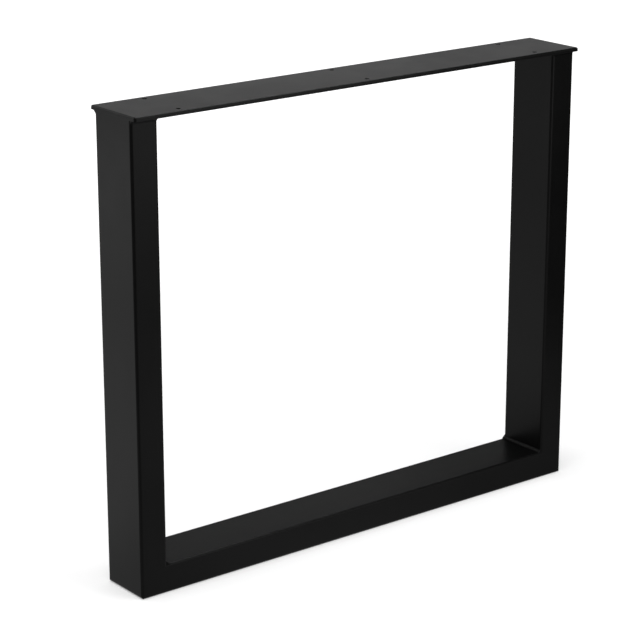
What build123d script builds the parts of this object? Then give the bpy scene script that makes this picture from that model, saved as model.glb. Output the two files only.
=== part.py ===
"""Welded table leg frame: two upright tubes mitred to a bottom tube, under a flat screw plate.

The frame stands in the XZ plane with its origin on the floor, in the middle of the bottom tube.
X runs along the frame's length, Y through its depth, and Z is up. All sizes are in millimetres.
"""
import os

from build123d import *

# Overall sizes
frame_length = 840.0  # outer face to outer face of the uprights, and the plate's length
frame_height = 720.0  # floor to the top of the plate

# Rectangular steel tube, its narrow side in the plane of the frame
tube_depth = 90.0
tube_face = 45.0
tube_wall = 2.0
tube_corner = 4.0  # outer radius of the tube's long edges
least_inner_corner = 0.5
corner_grind = 5.0  # radius ground on the outer edge of each mitred corner

# Flat plate that the table top is screwed to
plate_thickness = 6.0
plate_ledge = 11.0  # how far the plate stands out past each wide side of the tubes
plate_edge = 2.6  # rounding of the plate's top edges
plate_corner = 3.2  # rounding of its four corners, seen from above
screw_hole = 7.0
screw_hole_rim = 0.4  # bevel of each hole's two rims
hole_from_side = 14.0  # hole centre to the plate's long edge
hole_from_end = 82.0  # hole centre to the plate's end

# Fillet welds
plate_weld_leg = 6.0
plate_weld_hollow = 0.9  # depth of the concave face below its chord
corner_weld_leg = 4.0
corner_weld_crown = 0.4  # height of the convex face above its chord
weld_end_gap = 0.5  # the welds stop this far short of the faces that are ground flush

# Worked out from the sizes above
half_length = frame_length / 2
half_depth = tube_depth / 2
upright_length = frame_height - plate_thickness
plate_depth = tube_depth + 2 * plate_ledge
inner_corner = max(tube_corner - tube_wall, least_inner_corner)


def prism(points, depth):
    """A prism along Y, centred on the frame's plane, over an outline in X and Z."""
    outline = Plane.XZ * make_face(Polyline(*points, close=True))
    return extrude(outline, depth / 2, both=True)


def tube_section(offset):
    """The tube's rounded outline, moved inwards by an offset: none for the outside, the wall for the bore."""
    corner = tube_corner if offset == 0 else inner_corner
    return RectangleRounded(tube_face - 2 * offset, tube_depth - 2 * offset, corner)


def upright_bar(offset):
    """A full-height bar of the tube's outline at the left end of the frame, before its mitre."""
    start = Plane.XY.offset(-offset) * Pos(tube_face / 2 - half_length, 0)
    return extrude(start * tube_section(offset), upright_length + 2 * offset)


def level_bar(offset):
    """A full-length bar of the tube's outline along the floor, before its mitres."""
    across = Plane(origin=(-half_length - offset, 0, tube_face / 2), x_dir=(0, 0, 1), z_dir=(1, 0, 0))
    return extrude(across * tube_section(offset), frame_length + 2 * offset)


def mitre_wedge(above):
    """The half of the left bottom corner above or below its 45 degree mitre plane."""
    reach = tube_face + tube_corner
    low = (-half_length - tube_corner, -tube_corner)
    high = (reach - half_length, reach)
    third = (low[0], high[1]) if above else (high[0], low[1])
    return prism([low, high, third], 2 * tube_depth)


def corner_waste():
    """What grinding takes off the left bottom corner: a square less a quarter round."""
    square = Rectangle(corner_grind, corner_grind, align=(Align.MIN, Align.MIN))
    arc = Pos(corner_grind, corner_grind) * Circle(corner_grind)
    return extrude(Plane.XZ * Pos(-half_length, 0) * (square - arc), tube_depth, both=True)


def left_upright_blank():
    """The left upright with its mitre and ground corner, still without a bore."""
    return upright_bar(0) - mitre_wedge(above=False) - corner_waste()


def bottom_bar_blank():
    """The bottom tube with both mitres and ground corners, still without a bore."""
    waste = mitre_wedge(above=True) + corner_waste()
    return level_bar(0) - waste - mirror(waste, about=Plane.YZ)


def mounting_plate():
    """A flat bar with three pairs of screw holes, its top edges and corners rounded."""
    plate = Pos(0, 0, upright_length) * extrude(Rectangle(frame_length, plate_depth), plate_thickness)
    plate = fillet(plate.edges().filter_by(Axis.Z), plate_corner)
    plate = fillet(plate.edges().group_by(Axis.Z)[-1], plate_edge)
    end_hole = half_length - hole_from_end
    side_hole = plate_depth / 2 - hole_from_side
    drill = Cylinder(screw_hole / 2, 2 * plate_thickness)
    for x in (-end_hole, 0, end_hole):
        for y in (-side_hole, side_hole):
            plate -= Pos(x, y, frame_height) * drill
    rims = plate.edges().filter_by(GeomType.CIRCLE).filter_by(lambda edge: edge.is_closed)
    return chamfer(rims, screw_hole_rim)


def plate_weld_section():
    """A concave fillet in the corner between an upright's face and the plate's underside."""
    toe = (0, -plate_weld_leg)
    tip = (plate_weld_leg, 0)
    middle = (plate_weld_leg / 2, -plate_weld_leg / 2)
    sag = plate_weld_hollow / 2 ** 0.5
    face = ThreePointArc(toe, (middle[0] - sag, middle[1] + sag), tip)
    return make_face(Polyline(tip, (0, 0), toe) + face)


def left_plate_weld():
    """The weld round three sides of the left upright, ground off at the frame's end."""
    centre = (tube_face / 2 - half_length, 0, upright_length)
    path = Pos(*centre) * RectangleRounded(tube_face, tube_depth, tube_corner).wire()
    start = Plane(origin=(tube_face - half_length, 0, upright_length), x_dir=(1, 0, 0), z_dir=(0, -1, 0))
    bead = sweep(start * plate_weld_section(), path=path)
    room = 2 * (tube_depth + plate_weld_leg)
    keep = Pos(weld_end_gap - half_length, 0, upright_length) * Box(
        room, room, room, align=(Align.MIN, Align.CENTER, Align.CENTER)
    )
    return bead & keep


def left_corner_weld():
    """The weld across the left inner corner. It fills the valley between the two tubes' round edges."""
    corner = (tube_face - half_length, tube_face)
    low = -tube_corner
    high = corner_weld_leg + tube_corner
    middle = corner_weld_leg / 2 + corner_weld_crown / 2 ** 0.5
    sides = Polyline((high, low), (low, low), (low, high))
    outline = make_face(sides + ThreePointArc((low, high), (middle, middle), (high, low)))
    bead = extrude(Plane.XZ * Pos(*corner) * outline, half_depth - weld_end_gap, both=True)
    return bead - left_upright_blank() - bottom_bar_blank()


left_upright = left_upright_blank() - upright_bar(tube_wall)
bottom_tube = bottom_bar_blank() - level_bar(tube_wall)
plate_weld = left_plate_weld()
corner_weld = left_corner_weld()

pieces = {
    "mounting_plate": mounting_plate(),
    "bottom_tube": bottom_tube,
    "left_upright": left_upright,
    "right_upright": mirror(left_upright, about=Plane.YZ),
    "left_plate_weld": plate_weld,
    "right_plate_weld": mirror(plate_weld, about=Plane.YZ),
    "left_corner_weld": corner_weld,
    "right_corner_weld": mirror(corner_weld, about=Plane.YZ),
}

os.makedirs("parts", exist_ok=True)
for name, piece in pieces.items():
    export_step(piece, f"parts/{name}.step")
    print(name, round(piece.volume), "mm3")
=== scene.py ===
# %% [markdown]
# A welded table frame in black powder coat. Two upright tubes and a floor tube make a U, and a flat
# plate closes the top. The solids already have their real form and place, so they stay as they are and
# only get their finish here. The welds are made anew, because a real bead has ripples that a plain
# solid lacks. The frame is loaded first, because every size below is read from it.

# %% Load the frame
import math

import bpy
import numpy as np
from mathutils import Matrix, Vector


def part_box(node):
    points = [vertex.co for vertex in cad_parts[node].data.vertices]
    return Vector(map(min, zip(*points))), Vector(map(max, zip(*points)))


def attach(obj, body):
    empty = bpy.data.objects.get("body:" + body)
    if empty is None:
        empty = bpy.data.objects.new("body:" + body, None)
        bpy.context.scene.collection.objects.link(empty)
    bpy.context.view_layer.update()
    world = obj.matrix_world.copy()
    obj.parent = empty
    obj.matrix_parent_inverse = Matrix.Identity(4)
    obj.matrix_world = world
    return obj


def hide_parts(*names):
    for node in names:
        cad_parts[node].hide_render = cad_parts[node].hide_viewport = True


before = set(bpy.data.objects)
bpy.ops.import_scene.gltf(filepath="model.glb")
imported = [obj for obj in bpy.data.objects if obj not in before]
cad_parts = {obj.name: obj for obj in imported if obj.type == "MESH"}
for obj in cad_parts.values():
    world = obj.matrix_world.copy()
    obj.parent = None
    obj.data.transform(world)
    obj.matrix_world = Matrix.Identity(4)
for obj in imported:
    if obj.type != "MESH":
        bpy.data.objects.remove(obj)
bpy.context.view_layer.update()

print("the frame's nodes:", ", ".join(sorted(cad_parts)))

# %% [markdown]
# Sizes. The beads and the patterns of the finish have to sit on the tubes and the plate. Numbers typed
# in again would drift away from the solids, so the sizes are measured on the nodes' own boxes. Only the
# tube's corner radius and the welds' legs can't be read from a box, so they are named where they are used.

# %% Measure the tubes and the plate
MM = 0.001


def box_of(node):
    """A node's lowest and highest corners, as two arrays in metres."""
    low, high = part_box(node)
    return np.array(low), np.array(high)


plate_low, plate_high = box_of("mounting_plate")
bar_low, bar_high = box_of("bottom_tube")
post_low, post_high = box_of("left_upright")
half_length = plate_high[0]
half_depth = post_high[1]
tube_face = bar_high[2] - bar_low[2]
underside = plate_low[2]
print("frame length", round(2 * half_length / MM), "mm, height", round(plate_high[2] / MM), "mm")
print("tube", round(2 * half_depth / MM), "by", round(tube_face / MM), "mm")

# %% [markdown]
# The camera. The photograph looks down on the frame from its left front, through a long lens from
# about 3.5 m away. A camera is a place, a heading and a tilt. They were fitted to the frame's own edges,
# so the frame falls close to where it does in the photograph. The photograph's uprights are truly
# parallel, as a shifted lens draws them. This lens has no shift, so they lean together a little.

# %% Place the camera
camera_place = (-2.1015, -2.6060, 1.3888)
camera_heading = math.radians(38.14)  # to the right of straight ahead
camera_tilt = math.radians(17.45)  # downwards
camera_lens = 128.28  # mm
film_width = 36.0  # mm

camera_data = bpy.data.cameras.new("camera")
camera_data.lens = camera_lens
camera_data.sensor_width = film_width
camera = bpy.data.objects.new("camera", camera_data)
camera.location = camera_place
camera.rotation_euler = (math.pi / 2 - camera_tilt, 0.0, -camera_heading)
bpy.context.scene.collection.objects.link(camera)
bpy.context.scene.camera = camera
bpy.context.scene.view_settings.view_transform = "Standard"
print("camera", round(math.dist(camera_place, (0, 0, plate_high[2] / 2)), 2), "m from the frame's middle")

# %% [markdown]
# Wiring a material by hand takes many lines. A few small helpers keep it short. One adds a node and
# fills its sockets, with a value or with another node's output. One does a sum, one blends two values or
# colours, one carries a value smoothly from one bound to another, and one starts a group.

# %% Helpers that add and wire nodes


def add(tree, kind, sockets=None, **settings):
    """Adds a node, makes its settings, and sets or links each named or numbered input socket."""
    made = tree.nodes.new(kind)
    for name, value in settings.items():
        setattr(made, name, value)
    for name, value in (sockets or {}).items():
        if isinstance(value, bpy.types.NodeSocket):
            tree.links.new(value, made.inputs[name])
        else:
            made.inputs[name].default_value = value
    return made


def reckon(tree, operation, *values):
    """One sum by a Math node, as its output socket."""
    return add(tree, "ShaderNodeMath", dict(enumerate(values)), operation=operation).outputs[0]


def blend(tree, factor, first, second, colour=False):
    """The first value or colour where the factor is 0, the second where it is 1, and a mix between."""
    socket, result = (6, 2) if colour else (2, 0)
    sockets = {0: factor, socket: first, socket + 1: second}
    kind = "RGBA" if colour else "FLOAT"
    return add(tree, "ShaderNodeMix", sockets, data_type=kind).outputs[result]


def grey(level):
    """A colour without a hue, as red, green, blue and alpha."""
    return (level, level, level, 1.0)


def fade(tree, value, start, stop, at_start, at_stop):
    """A value carried smoothly from at_start, where it is start, to at_stop, where it is stop."""
    sockets = {"Value": value, "From Min": start, "From Max": stop, "To Min": at_start, "To Max": at_stop}
    made = add(tree, "ShaderNodeMapRange", sockets, interpolation_type="SMOOTHSTEP")
    return made.outputs["Result"]


def new_group(name, inputs, outputs):
    """An empty shader group with named sockets, its input end and its output end."""
    group = bpy.data.node_groups.new(name, "ShaderNodeTree")
    for title, kind in inputs.items():
        group.interface.new_socket(title, in_out="INPUT", socket_type="NodeSocket" + kind)
    for title, kind in outputs.items():
        group.interface.new_socket(title, in_out="OUTPUT", socket_type="NodeSocket" + kind)
    return group, group.nodes.new("NodeGroupInput").outputs, group.nodes.new("NodeGroupOutput").inputs


print("node helpers ready")

# %% [markdown]
# Powder coat is sprayed on as dust and melted into a skin. It never flows quite flat: it keeps a soft
# peel with waves a few millimetres long, a finer grain that makes it satin, and here and there a nib of
# dust under the film. All are some hundredths of a millimetre high, far too fine for a mesh, so they
# are a height for a Bump node. Every piece has the same coat, so one group makes the height for all.

# %% The coat's skin, a group
nib_room = 16.0 * MM  # one cell of this size may hold a nib
nib_width = 0.35 * MM
nib_odds = 0.12  # the share of the cells that do


def make_skin_group():
    """Height = peel noise x its share + grain noise x the rest + a round bump in a few random cells."""
    group, given, result = new_group(
        "coat_skin",
        {"Place": "Vector", "Peel waves per metre": "Float", "Grain waves per metre": "Float",
         "Peel share": "Float"},
        {"Height": "Float"},
    )
    place = given["Place"]
    peel = add(group, "ShaderNodeTexNoise",
               {"Vector": place, "Scale": given["Peel waves per metre"], "Detail": 1.5})
    grain = add(group, "ShaderNodeTexNoise",
                {"Vector": place, "Scale": given["Grain waves per metre"], "Detail": 1.0})
    both = blend(group, given["Peel share"], grain.outputs["Fac"], peel.outputs["Fac"])
    cells = add(group, "ShaderNodeTexVoronoi", {"Vector": place, "Scale": 1 / nib_room})
    bump = fade(group, cells.outputs["Distance"], 0.0, nib_width / nib_room, 1.0, 0.0)
    draw = add(group, "ShaderNodeSeparateColor", {0: cells.outputs["Color"]}).outputs[0]
    nib = reckon(group, "MULTIPLY", bump, reckon(group, "LESS_THAN", draw, nib_odds))
    group.links.new(reckon(group, "ADD", both, nib), result["Height"])
    return group


coat_skin = make_skin_group()
print("group", coat_skin.name, "with", len(coat_skin.nodes), "nodes")

# %% [markdown]
# No sprayed coat is the same all over. Where the gun lingered the film is thicker and a little
# glossier, and its tone drifts by a hair over a hand's breadth. A second group turns two slow noises
# into a share, which mixes two near blacks, and a roughness between two bounds.

# %% The coat's slow drift, a group
noise_low = 0.3  # nearly all of a noise lies between these two
noise_high = 0.7
gloss_finer = 2.7  # how many times finer the gloss drifts than the tone


def make_drift_group():
    """Share = a slow noise stretched to 0 to 1. Roughness = another one, stretched between its bounds."""
    group, given, result = new_group(
        "coat_drift",
        {"Place": "Vector", "Patches per metre": "Float", "Smooth": "Float", "Rough": "Float"},
        {"Share": "Float", "Roughness": "Float"},
    )
    place = given["Place"]
    patches = given["Patches per metre"]
    finer = reckon(group, "MULTIPLY", patches, gloss_finer)
    tone = add(group, "ShaderNodeTexNoise", {"Vector": place, "Scale": patches, "Detail": 3.0})
    gloss = add(group, "ShaderNodeTexNoise", {"Vector": place, "Scale": finer, "Detail": 2.0})
    share = fade(group, tone.outputs["Fac"], noise_low, noise_high, 0.0, 1.0)
    rough = fade(group, gloss.outputs["Fac"], noise_low, noise_high, given["Smooth"], given["Rough"])
    group.links.new(share, result["Share"])
    group.links.new(rough, result["Roughness"])
    return group


coat_drift = make_drift_group()
print("group", coat_drift.name, "with", len(coat_drift.nodes), "nodes")

# %% [markdown]
# Melting powder draws back from a sharp edge, so the film is thinner and tighter there. The edges of a
# straight bar are where two of its faces are near at once. The group measures how far a point lies
# inside the bar's box along each axis, and the second smallest of the three is the distance to the
# nearest edge. The frame is alike left and right, so X is folded over and one centre serves both ends.

# %% The thin film along edges, a group


def make_edge_group():
    """Mask = 1 on an edge of the box with that centre and half size, fading to 0 over the band."""
    group, given, result = new_group(
        "edge_film",
        {"Place": "Vector", "Centre": "Vector", "Half size": "Vector", "Band": "Float"},
        {"Mask": "Float"},
    )

    def vector(operation, *values):
        """One sum on vectors, as its output socket."""
        return add(group, "ShaderNodeVectorMath", dict(enumerate(values)), operation=operation).outputs[0]

    off = vector("SUBTRACT", vector("ABSOLUTE", given["Place"]), given["Centre"])
    room = vector("SUBTRACT", given["Half size"], vector("ABSOLUTE", off))
    along = add(group, "ShaderNodeSeparateXYZ", {0: room}).outputs
    low = reckon(group, "MINIMUM", along["X"], along["Y"])
    high = reckon(group, "MAXIMUM", along["X"], along["Y"])
    second = reckon(group, "MAXIMUM", low, reckon(group, "MINIMUM", high, along["Z"]))
    group.links.new(fade(group, second, 0.0, given["Band"], 1.0, 0.0), result["Mask"])
    return group


edge_film = make_edge_group()
print("group", edge_film.name, "with", len(edge_film.nodes), "nodes")

# %% [markdown]
# At the bottom corners the two tubes are cut at 45 degrees, welded and ground flush, so no seam shows.
# What is left of the grinding is a faint band where the skin lies a little duller. On both tubes the
# distance to the cut is the difference between a point's height and its distance from the frame's end.

# %% The ground mitres, a group


def make_mitre_group():
    """Mask = 1 on the 45 degree cut, fading to 0 over the band, and 0 above or beyond the corner."""
    group, given, result = new_group(
        "ground_mitre",
        {"Place": "Vector", "Half length": "Float", "Corner": "Float", "Band": "Float"},
        {"Mask": "Float"},
    )
    at = add(group, "ShaderNodeSeparateXYZ", {0: given["Place"]}).outputs
    inward = reckon(group, "SUBTRACT", given["Half length"], reckon(group, "ABSOLUTE", at["X"]))
    apart = reckon(group, "ABSOLUTE", reckon(group, "SUBTRACT", inward, at["Z"]))
    near = fade(group, apart, 0.0, given["Band"], 1.0, 0.0)
    inside = reckon(group, "LESS_THAN", reckon(group, "MAXIMUM", inward, at["Z"]), given["Corner"])
    group.links.new(reckon(group, "MULTIPLY", near, inside), result["Mask"])
    return group


ground_mitre = make_mitre_group()
print("group", ground_mitre.name, "with", len(ground_mitre.nodes), "nodes")

# %% [markdown]
# The finish: black, satin, with hardly any colour of its own. Nearly all that is seen of it is what it
# mirrors, softly, and most at a grazing angle, so the gloss matters more than the colour. The shader
# holds its fixed numbers on its own sockets, and the groups feed what varies. Each kind of piece brings
# its own wave lengths and says where its film is thin and where it was ground.

# %% One satin black, made to measure for each kind of piece
deep_black = grey(0.0010)
soft_black = grey(0.0017)
thin_black = grey(0.0034)
coat_gloss = 0.07  # the shader's specular level
weld_gloss = 0.045  # duller, because the powder lies over scale and ripples there
coat_smooth = 0.32  # roughness where the film is thick
coat_rough = 0.34  # and where it is thin
ground_rough = 0.42  # roughness where the mitres were ground
ground_band = 7.0 * MM
patches_per_metre = 9.0
peel_share = 0.7


def satin_black(name, peel_mm, grain_mm, skin_mm, thin_film, ground=None, gloss=coat_gloss):
    """A coat with skin waves of these lengths and height. thin_film and ground each make a mask."""
    material = bpy.data.materials.new(name)
    material.use_nodes = True
    tree = material.node_tree
    shader = tree.nodes["Principled BSDF"]
    place = add(tree, "ShaderNodeTexCoord").outputs["Object"]
    drift = add(tree, "ShaderNodeGroup", {
        "Place": place,
        "Patches per metre": patches_per_metre,
        "Smooth": coat_smooth,
        "Rough": coat_rough,
    }, node_tree=coat_drift)
    skin = add(tree, "ShaderNodeGroup", {
        "Place": place,
        "Peel waves per metre": 1 / (peel_mm * MM),
        "Grain waves per metre": 1 / (grain_mm * MM),
        "Peel share": peel_share,
    }, node_tree=coat_skin)
    black = blend(tree, drift.outputs["Share"], deep_black, soft_black, colour=True)
    black = blend(tree, thin_film(tree, place), black, thin_black, colour=True)
    rough = drift.outputs["Roughness"]
    if ground:
        rough = blend(tree, ground(tree, place), rough, ground_rough)
    bump = add(tree, "ShaderNodeBump", {"Distance": skin_mm * MM, "Height": skin.outputs["Height"]})
    tree.links.new(black, shader.inputs["Base Color"])
    tree.links.new(rough, shader.inputs["Roughness"])
    tree.links.new(bump.outputs["Normal"], shader.inputs["Normal"])
    shader.inputs["Specular IOR Level"].default_value = gloss
    return material


def film_at_edges(low, high, band_mm):
    """A mask maker for the edges of the box between two corners."""
    middle = (low + high) / 2

    def make(tree, place):
        return add(tree, "ShaderNodeGroup", {
            "Place": place,
            "Centre": (abs(middle[0]), middle[1], middle[2]),
            "Half size": (high - low) / 2,
            "Band": band_mm * MM,
        }, node_tree=edge_film).outputs["Mask"]

    return make


def make_ground_mask(tree, place):
    """The ground band at the mitres, as both tubes use it."""
    return add(tree, "ShaderNodeGroup", {
        "Place": place,
        "Half length": half_length,
        "Corner": tube_face,
        "Band": ground_band,
    }, node_tree=ground_mitre).outputs["Mask"]


def crest_mask(tree, place):
    """A bead's film is thin on the crests of its ripples, which its mesh carries as an attribute."""
    return add(tree, "ShaderNodeAttribute", attribute_name="crest").outputs["Fac"]


print("finish ready, specular level", coat_gloss, "roughness", coat_smooth, "to", coat_rough)

# %% [markdown]
# The plate is a hot-rolled flat and the tubes are rolled strip, so their peel differs a little in
# length, and on a narrow bead it is finer still. The solids keep their meshes. A node gets its finish by
# swapping the material in its slot.

# %% Finish the plate and the tubes
on_plate = {"peel_mm": 3.2, "grain_mm": 0.7, "skin_mm": 0.030}
on_tube = {"peel_mm": 3.6, "grain_mm": 0.8, "skin_mm": 0.026, "ground": make_ground_mask}
on_weld = {"peel_mm": 1.6, "grain_mm": 0.6, "skin_mm": 0.020, "gloss": weld_gloss}
plate_film_mm = 1.2  # how far from an edge the film is thin
tube_film_mm = 1.6

plate_film = film_at_edges(plate_low, plate_high, plate_film_mm)
post_film = film_at_edges(post_low, post_high, tube_film_mm)
bar_film = film_at_edges(bar_low, bar_high, tube_film_mm)
plate_black = satin_black("plate_black", thin_film=plate_film, **on_plate)
post_black = satin_black("post_black", thin_film=post_film, **on_tube)
bar_black = satin_black("bar_black", thin_film=bar_film, **on_tube)
weld_black = satin_black("weld_black", thin_film=crest_mask, **on_weld)

finish_of = {
    "mounting_plate": plate_black,
    "left_upright": post_black,
    "right_upright": post_black,
    "bottom_tube": bar_black,
}
for node, finish in finish_of.items():
    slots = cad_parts[node].data.materials
    slots.clear()
    slots.append(finish)
print("finished nodes:", ", ".join(finish_of))

# %% [markdown]
# A weld bead is metal laid down pool by pool. Each pool freezes as a crescent a millimetre or two
# behind the last, which gives the bead its ripples, and the hand's small changes of speed make it swell
# and shrink. Sculpting or a bump map could show this, but the outline would stay straight. Here a bead
# is a grid: one direction runs along the joint, the other goes across the bead and back through the
# metal that it is buried in. Two helpers serve both kinds of bead.

# %% Helpers for beads
buried = 0.15 * MM  # how deep a bead's toes sink into the steel
row_step = 0.25 * MM  # along the bead
points_across = 25
across = np.linspace(0.0, 1.0, points_across)  # from one toe to the other
arch = 4 * across * (1 - across)  # 0 at the toes, 1 in the middle
wobbles = ((0.35, 5.3), (0.20, 2.1))  # of the ripples: size in turns, length in pitches
swells = ((0.045, 31.0), (0.030, 13.0), (0.020, 7.1))  # of the leg: size as a share, length in mm
crest_power = 1.6  # above 1, crests are narrower than valleys
sharp_from = math.radians(50)  # edges that bend more than this are shaded sharp


def ripples(travel, pitch, bow, seed):
    """Crests 0 to 1: a raised cosine of travel / pitch, lagging by the bow in mid bead, with a wobble."""
    wobble = sum(size * np.sin(travel / (length * pitch) + order * seed)
                 for order, (size, length) in enumerate(wobbles, 1))
    turns = travel[:, None] / pitch + wobble[:, None] - bow * arch[None, :]
    crest = (0.5 + 0.5 * np.cos(2 * math.pi * turns)) ** crest_power
    return crest * np.sqrt(arch)[None, :]


def swell(travel, seed):
    """The hand's slow changes: 1 plus three sines of unlike wave lengths, under 10 percent in all."""
    return 1 + sum(size * np.sin(travel / (length * MM) + seed * length) for size, length in swells)


def make_bead(name, node, points, crest):
    """A closed mesh from rows of loops: quads along the bead, and a fan from the buried corner at each end.

    points is (rows, loop, 3), with each loop's last point the buried corner. crest is (rows, loop - 1).
    All faces are turned over if the volume, a sixth of the sum of a . (b x c), comes out negative.
    """
    rows, loop = points.shape[:2]
    index = np.arange(rows * loop).reshape(rows, loop)
    beside = np.roll(index, -1, axis=1)
    quads = np.stack([index[:-1], beside[:-1], beside[1:], index[1:]], -1).reshape(-1, 4)
    ends = index[[0, -1]]
    hub = np.broadcast_to(ends[:, -1:], (2, loop - 2))
    first_fan, last_fan = np.stack([hub, ends[:, 1:-1], ends[:, :-2]], -1)
    last_fan = last_fan[:, ::-1]
    places = points.reshape(-1, 3)
    triangles = np.concatenate([quads[:, [0, 1, 2]], quads[:, [0, 2, 3]], first_fan, last_fan])
    a, b, c = (places[triangles[:, i]] for i in range(3))
    inside_out = np.einsum("ij,ij->i", a, np.cross(b, c)).sum() < 0
    way_round = -1 if inside_out else 1
    faces = [part[:, ::way_round].tolist() for part in (quads, first_fan, last_fan)]
    mesh = bpy.data.meshes.new(name)
    mesh.from_pydata(places.tolist(), [], sum(faces, []))
    mesh.attributes.new("crest", "FLOAT", "POINT")
    heights = np.pad(crest, ((0, 0), (0, 1))).astype(np.float32)
    mesh.attributes["crest"].data.foreach_set("value", heights.ravel())
    mesh.shade_smooth()
    mesh.set_sharp_from_angle(angle=sharp_from)
    mesh.materials.append(weld_black)
    bead = bpy.data.objects.new(name, mesh)
    bpy.context.scene.collection.objects.link(bead)
    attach(bead, "root")
    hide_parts(node)
    print(name, "stands for", node, "with", len(mesh.polygons), "faces")


tube_corner = 4.0 * MM  # outer radius of the tubes' long edges
end_gap = 0.5 * MM  # the beads stop this far short of the faces that were ground flush

# %% [markdown]
# The corner bead lies across the inner bottom corner, in the valley between the upright and the floor
# tube. Its face bulges a little. Near the frame's front and back both tubes curve away with their round
# edges, so the bead's toes follow them down, and its ends are cut flat where the grinder passed.

# %% Weld the two inner bottom corners
corner_leg = 3.6 * MM
corner_crown = 0.45 * MM  # how far the face bulges
corner_ripple = 0.16 * MM  # height of the ripples
corner_pitch = 1.7 * MM  # from one ripple to the next
corner_bow = 0.55  # how far the middle of a ripple lags, in pitches


def corner_bead(name, node, side, seed):
    """Across = chord from toe to toe + crown x arch + ripple x crest, both along the corner's bisector.

    The toes start at leg + recede on one tube and sink recede + buried into the other, where recede is
    how far the tubes' round edges have curved away at this depth of the frame.
    """
    end = half_depth - end_gap
    depth = np.append(np.arange(-end, end, row_step), end)
    past_flat = np.clip(np.abs(depth) - (half_depth - tube_corner), 0, tube_corner)
    recede = tube_corner - np.sqrt(tube_corner ** 2 - past_flat ** 2)
    reach = corner_leg * swell(depth, seed) + recede
    sink = -(recede + buried)
    crest = ripples(depth, corner_pitch, corner_bow, seed)
    rise = (corner_crown * arch[None, :] + corner_ripple * crest) / math.sqrt(2)
    out = reach[:, None] + (sink - reach)[:, None] * across[None, :] + rise
    up = sink[:, None] + (reach - sink)[:, None] * across[None, :] + rise
    out = np.column_stack([out, sink])
    up = np.column_stack([up, sink])
    x = side * (half_length - tube_face - out)
    y = np.broadcast_to(depth[:, None], out.shape)
    make_bead(name, node, np.stack([x, y, tube_face + up], -1), crest)


corner_bead("left_corner_bead", "left_corner_weld", side=-1, seed=1.3)
corner_bead("right_corner_bead", "right_corner_weld", side=1, seed=4.1)

# %% [markdown]
# The plate bead runs round three sides of an upright, in the corner under the plate. Its face is
# hollow, as a weld is that was pulled up under an overhang. Seen from above its path is the tube's own
# round-cornered outline, moved outwards. A point of such a path is a centre that slides from corner to
# corner, plus a radius turned by an angle that only changes at the corners. On the frame's end the bead
# was ground off flush, so there each offset stops at its own angle, and the cut is flat.

# %% Weld the plate round the tops of the uprights
plate_hollow = 0.15  # depth of the hollow, as a share of the leg
plate_ripple = 0.12 * MM
plate_pitch = 1.9 * MM
plate_bow = 0.5
quarter = math.pi / 2  # a quarter turn


def outline_path(leg):
    """Centres, angles and cut shares along three sides of the left upright, from front to back.

    A cut share of -1 or 1 turns a point back to the flat cut on the frame's end, and 0 leaves it.
    """
    outer = tube_corner - half_length
    inner = tube_face - tube_corner - half_length
    front = tube_corner - half_depth
    corners = [(outer, front), (inner, front), (inner, -front), (outer, -front)]
    mean_radius = tube_corner + leg / 2
    arc_rows = round(quarter * mean_radius / row_step)
    cut_rows = arc_rows // 2
    arc = np.linspace(0, quarter, arc_rows, endpoint=False)
    cut = np.linspace(0, 1, cut_rows, endpoint=False)
    centres, angles, shares = [], [], []

    def stretch(start, stop, rows, angle, share):
        """Adds rows whose centre slides from start to stop, at this angle and cut share."""
        steps = np.linspace(0, 1, rows, endpoint=False)[:, None]
        centres.append(np.array(start) * (1 - steps) + np.array(stop) * steps)
        angles.append(np.broadcast_to(angle, rows))
        shares.append(np.broadcast_to(share, rows))

    stretch(corners[0], corners[0], cut_rows, -quarter, cut - 1)
    for turn, (start, stop) in enumerate(zip(corners, corners[1:])):
        heading = (turn - 1) * quarter
        stretch(start, stop, round(math.dist(start, stop) / row_step), heading, 0.0)
        if turn < 2:
            stretch(stop, stop, arc_rows, heading + arc, 0.0)
    stretch(corners[3], corners[3], cut_rows + 1, quarter, np.linspace(0, 1, cut_rows + 1))
    return np.concatenate(centres), np.concatenate(angles), np.concatenate(shares)


def plate_bead(name, node, side, leg, seed):
    """Place = centre + (corner radius + offset) x direction, lowered by the drop.

    Across the bead, offset and drop run from (0, leg) to (leg, 0), less hollow x arch and plus
    ripple x crest, along the bisector of the corner between the tube and the plate.
    """
    centres, angles, shares = outline_path(leg)
    travel = np.arange(len(angles)) * row_step
    legs = leg * swell(travel, seed)
    crest = ripples(travel, plate_pitch, plate_bow, seed)
    rise = (plate_ripple * crest - plate_hollow * legs[:, None] * arch[None, :]) / math.sqrt(2)
    offset = (legs + buried)[:, None] * across[None, :] - buried + rise
    drop = legs[:, None] - (legs + buried)[:, None] * across[None, :] + rise
    offset = np.column_stack([offset, np.full_like(legs, -buried)])
    drop = np.column_stack([drop, np.full_like(legs, -buried)])
    radius = tube_corner + offset
    cut = np.arcsin((tube_corner - end_gap) / radius)
    turned = angles[:, None] + shares[:, None] * cut
    x = centres[:, :1] + radius * np.cos(turned)
    y = centres[:, 1:] + radius * np.sin(turned)
    make_bead(name, node, np.stack([-side * x, y, underside - drop], -1), crest)


plate_bead("left_plate_bead", "left_plate_weld", side=-1, leg=6.0 * MM, seed=2.2)
plate_bead("right_plate_bead", "right_plate_weld", side=1, leg=4.8 * MM, seed=5.7)

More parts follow.
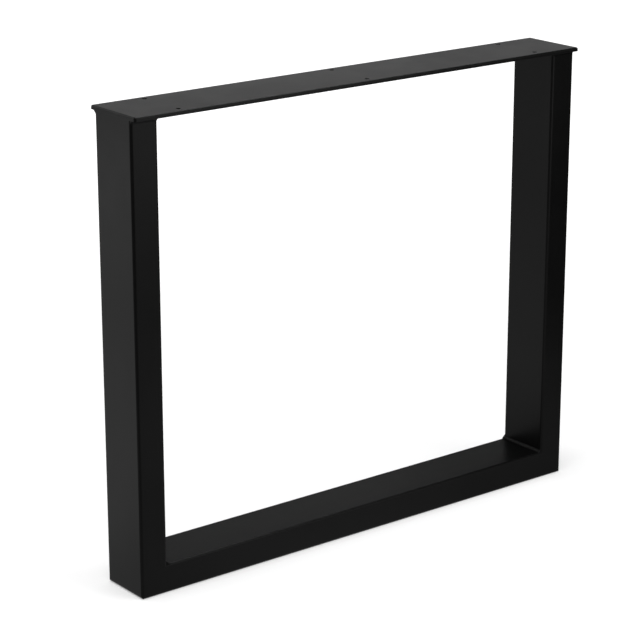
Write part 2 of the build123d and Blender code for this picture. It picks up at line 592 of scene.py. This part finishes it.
# %% [markdown]
# The floor is a pale disc, wide enough to reach past every edge of the picture. To the camera it is
# plain white, by a glow that lights nothing. The lamps' light comes on top of it and is strongest near
# the frame, so the glow is weaker there, and the frame leaves a faint shadow round its foot. Black satin
# shows what stands round it, so the floor is part of the finish's look too. Each face of the frame mirrors
# its own patch of floor, and these patches are painted light and shade, a glow on the floor and no lamp.
# The upright's end, on the left, mirrors a painted lit patch behind it, and painted shade at its foot.
# The right upright's inner face mirrors a painted lit patch under the frame, and its front mirrors painted
# dark ground at the top and a painted lit patch below. Only mirror and glass rays see these painted pools.

# %% Lay the floor
floor_radius = 14.0
floor_rim_points = 128
floor_drop = 0.2 * MM  # just under the frame, so the two never share a plane
floor_grey = 0.6
glow_near = 0.34  # what the camera sees on top of the lamps' light, beside the frame
glow_far = 0.78
glow_grows_from = 0.7  # m from the frame's middle
glow_grows_to = 3.0
ground_level = 0.40  # what the floor mirrors between the pools
# Painted light and shade on the floor, seen only by mirror rays. A negative strength is painted shade.
painted_floor_pools = (
    # centre, still full within, fades out over, strength, all in metres but the last
    ((-2.14, 1.98, 0.0), 0.11, 1.34, 2.81),
    ((-0.61, 0.49, 0.0), 0.63, 0.60, 0.86),
    ((0.65, -1.46, 0.0), 0.72, 0.84, 1.38),
    ((2.80, -3.35, 0.0), 2.75, 1.36, -2.17),
    ((-0.53, -0.08, 0.0), 0.07, 0.38, -0.41),
)


def mirror_rays(tree):
    """1 for rays that come off a mirror or through glass, else 0."""
    rays = add(tree, "ShaderNodeLightPath").outputs
    return reckon(tree, "MAXIMUM", rays["Is Glossy Ray"], rays["Is Transmission Ray"])


def camera_rays(tree):
    """1 for rays that come straight from the camera, else 0."""
    return add(tree, "ShaderNodeLightPath").outputs["Is Camera Ray"]


def with_pools(tree, place, level, pools):
    """A level + soft round pools, each full near its centre and fading smoothly, never below 0."""
    for centre, full, fading, strength in pools:
        between = add(tree, "ShaderNodeVectorMath", {0: place, 1: centre}, operation="DISTANCE")
        pool = fade(tree, between.outputs["Value"], full, full + fading, strength, 0.0)
        level = reckon(tree, "ADD", level, pool)
    return reckon(tree, "MAXIMUM", level, 0.0)


def make_floor():
    """A flat disc: its rim is (r cos a, r sin a, -drop) at even angles a."""
    turns = np.linspace(0, 2 * math.pi, floor_rim_points, endpoint=False)
    rim = np.stack([floor_radius * np.cos(turns), floor_radius * np.sin(turns), 0 * turns - floor_drop], 1)
    mesh = bpy.data.meshes.new("floor")
    mesh.from_pydata(rim.tolist(), [], [list(range(floor_rim_points))])
    paint = bpy.data.materials.new("floor_paint")
    paint.use_nodes = True
    paint.cycles.emission_sampling = "NONE"
    tree = paint.node_tree
    shader = tree.nodes["Principled BSDF"]
    shader.inputs["Roughness"].default_value = 1.0
    shader.inputs["Specular IOR Level"].default_value = 0.0
    shader.inputs["Emission Color"].default_value = grey(1.0)
    colour = blend(tree, mirror_rays(tree), grey(floor_grey), grey(0.0), colour=True)
    place = add(tree, "ShaderNodeTexCoord").outputs["Object"]
    pattern = with_pools(tree, place, ground_level, painted_floor_pools)
    mirrored = reckon(tree, "MULTIPLY", mirror_rays(tree), pattern)
    away = add(tree, "ShaderNodeVectorMath", {0: place}, operation="LENGTH").outputs["Value"]
    glow = fade(tree, away, glow_grows_from, glow_grows_to, glow_near, glow_far)
    seen = reckon(tree, "MULTIPLY", camera_rays(tree), glow)
    tree.links.new(colour, shader.inputs["Base Color"])
    tree.links.new(reckon(tree, "ADD", mirrored, seen), shader.inputs["Emission Strength"])
    mesh.materials.append(paint)
    disc = bpy.data.objects.new("floor", mesh)
    bpy.context.scene.collection.objects.link(disc)


make_floor()
print("floor", 2 * floor_radius, "m across, with", len(painted_floor_pools), "pools of light and shade")

# %% [markdown]
# The room. A table frame has few faces, and each mirrors one part of the room, so a plain even room
# gives each face one tone. That is what the photograph shows. The plate and the floor tube's top catch
# the pale wall low behind the frame, and the wall darkens upwards. A glow behind shows in the rounding
# of the plate's end. Overhead hangs a wide soft lamp, and a tall soft panel in front fills the faces that
# look its way. A dim low card behind reaches only the left part of the floor tube's top, which darkens
# towards its right end. A card overhead to the right does the same for the rounding of the front edges.
# It is only mirrored, so it casts no shadow. The camera itself sees plain white.

# %% Light the room
room_level = 0.55  # what lights the object from all sides
wall_low = 1.32  # how bright the wall is mirrored, low down
wall_high = 0.12
wall_low_at = 0.12  # as the sine of the angle above the floor
wall_high_at = 0.20
glow_bearing = math.radians(-12.1)  # to the right of straight ahead
glow_lift = math.radians(20.2)  # above the floor
glow_towards = (
    math.cos(glow_lift) * math.sin(glow_bearing),
    math.cos(glow_lift) * math.cos(glow_bearing),
    math.sin(glow_lift),
)
wall_glow = (glow_towards, 0.21, 0.38, 2.0)  # as a pool, with its radii as chords of a sphere of 1 m


def make_room():
    """World strength = room level, or white for camera rays, or wall + glow for mirror rays."""
    room = bpy.data.worlds.new("room")
    bpy.context.scene.world = room
    room.use_nodes = True
    tree = room.node_tree
    direction = add(tree, "ShaderNodeTexCoord").outputs["Generated"]
    height = add(tree, "ShaderNodeSeparateXYZ", {0: direction}).outputs["Z"]
    wall = fade(tree, height, wall_low_at, wall_high_at, wall_low, wall_high)
    wall = with_pools(tree, direction, wall, [wall_glow])
    level = blend(tree, mirror_rays(tree), room_level, wall)
    level = blend(tree, camera_rays(tree), level, 1.0)
    background = tree.nodes["Background"]
    background.inputs["Color"].default_value = grey(1.0)
    tree.links.new(level, background.inputs["Strength"])


def soft_lamp(name, place, aim, width, height, watts, only_mirrored=False):
    """A rectangular area lamp that faces the aim point and that the camera doesn't see."""
    data = bpy.data.lights.new(name, "AREA")
    data.shape = "RECTANGLE"
    data.size = width
    data.size_y = height
    data.energy = watts
    lamp = bpy.data.objects.new(name, data)
    lamp.location = place
    lamp.rotation_euler = (Vector(aim) - Vector(place)).to_track_quat("-Z", "Y").to_euler()
    lamp.visible_camera = False
    lamp.visible_diffuse = not only_mirrored
    bpy.context.scene.collection.objects.link(lamp)
    print(name, watts, "W,", width, "by", height, "m")


make_room()
soft_lamp("top_lamp", (-0.6, -0.2, 3.4), aim=(0.0, 0.0, 0.36), width=2.4, height=2.4, watts=100.0)
soft_lamp("front_panel", (0.65, -1.44, 1.08), aim=(0.65, 0.0, 1.08), width=1.17, height=2.0, watts=18.0)
soft_lamp("back_card", (0.80, 1.50, 0.72), aim=(0.80, 0.0, 0.72), width=1.2, height=0.5, watts=0.65)
soft_lamp("edge_card", (1.55, 0.3, 3.4), aim=(1.55, 0.3, 0.0), width=1.2, height=2.4, watts=80.0,
          only_mirrored=True)
